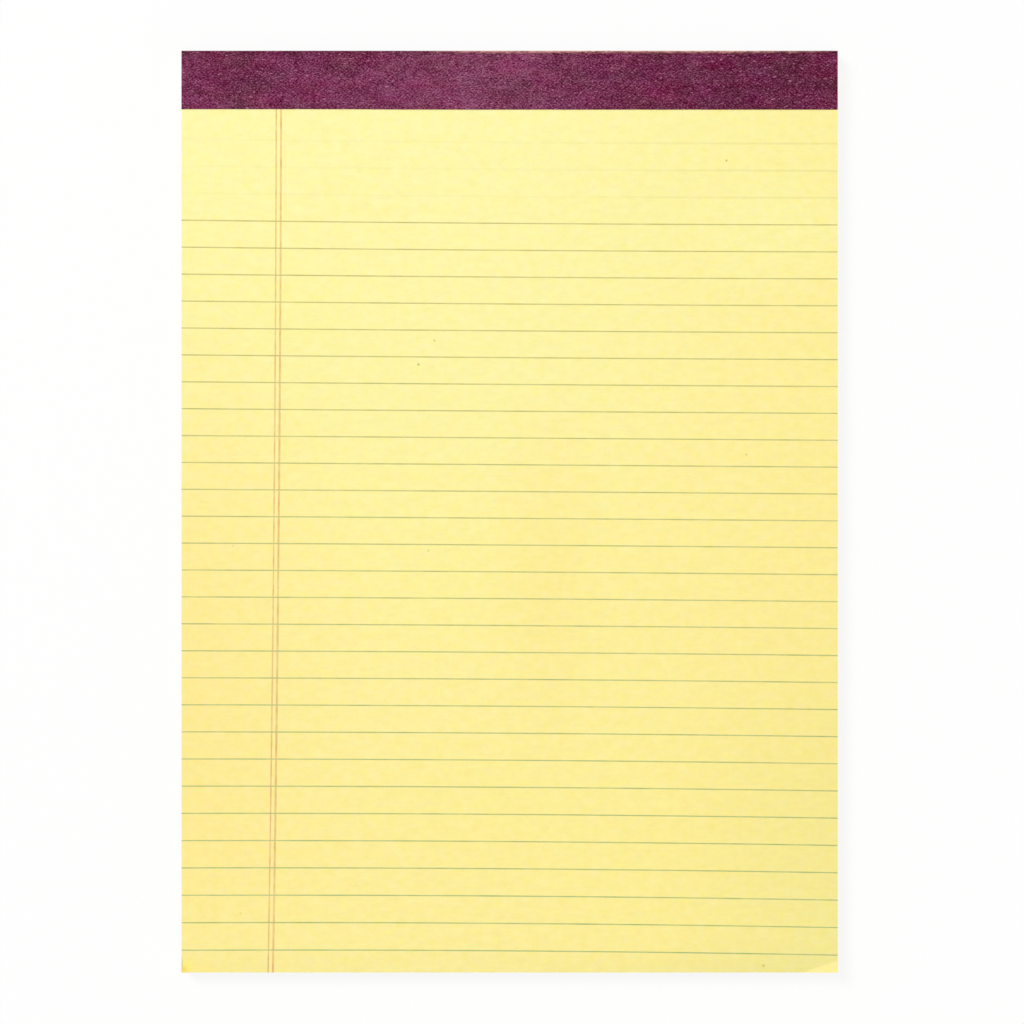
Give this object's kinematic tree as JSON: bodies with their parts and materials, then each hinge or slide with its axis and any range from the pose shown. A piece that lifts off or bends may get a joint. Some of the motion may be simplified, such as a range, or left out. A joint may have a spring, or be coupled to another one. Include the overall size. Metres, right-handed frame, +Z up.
{
  "type": "legal pad",
  "caption": "Yellow ruled writing pad with a double left margin line, perforated leaves, a chipboard back and a folded plum tape over the stapled head.",
  "frame": {"origin": "under the middle of the pad's outline, on the surface that it rests on", "axes": "+X to the right of the written page, +Y along the pad's length towards the bound head, +Z up through the leaves, out of the written side"},
  "size_m": [0.2124, 0.2984, 0.0067],
  "materials": {
    "canary_paper": "matt uncoated canary writing paper",
    "chipboard": "matt grey-brown chipboard with fibre flecks",
    "leatherette_paper": "plum leatherette binding paper with fine pale fibres",
    "stitching_wire": "bright galvanised wire",
    "blue_green_ink": "thin blue-green ruling ink on yellow paper",
    "red_ink": "thin red ruling ink on yellow paper"
  },
  "bodies": {
    "root": {"ruled_sheets": "canary_paper", "backing_board": "chipboard", "binding_tape": "leatherette_paper", "staples": "stitching_wire", "blue_rules": "blue_green_ink", "red_margin_rules": "red_ink"}
  },
  "joints": []
}
